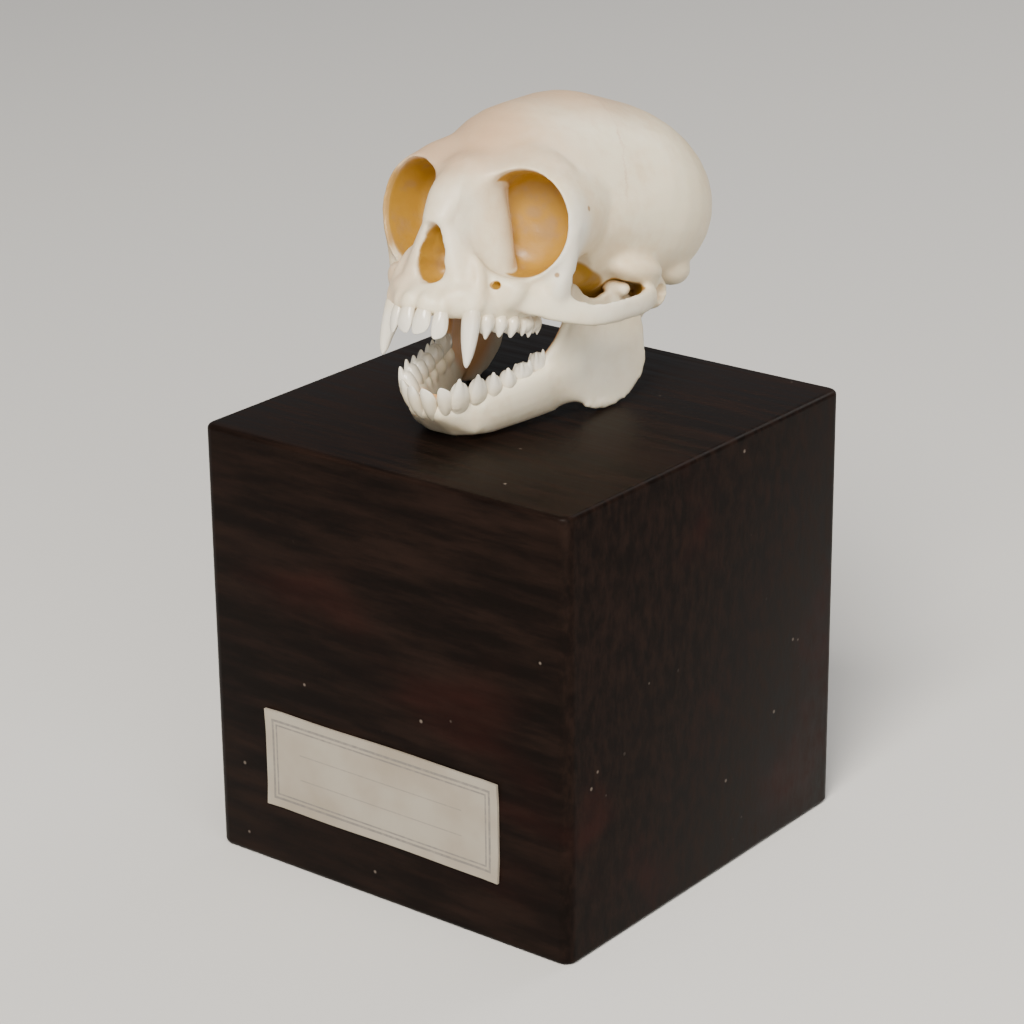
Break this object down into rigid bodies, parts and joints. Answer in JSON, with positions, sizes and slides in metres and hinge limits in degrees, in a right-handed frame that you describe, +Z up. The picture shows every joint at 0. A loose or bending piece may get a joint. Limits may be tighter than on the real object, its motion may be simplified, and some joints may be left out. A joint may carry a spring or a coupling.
{
  "type": "marmoset skull on a wooden block",
  "caption": "Life-size marmoset skull with jaws open, cranium and lower jaw resting on a square wooden block with a blank paper label.",
  "frame": {"origin": "centre of the block's flat underside", "axes": "+Z up; the skull looks towards -Y, the side of the block that carries the label; the skull's left side is +X"},
  "size_m": [0.048, 0.055, 0.0811],
  "materials": {
    "bone": null,
    "stained_wood": "dark stain, satin",
    "paper": null
  },
  "bodies": {
    "root": {"cranium": "bone", "mandible": "bone", "stand_block": "stained_wood", "stand_label": "paper"}
  },
  "joints": []
}
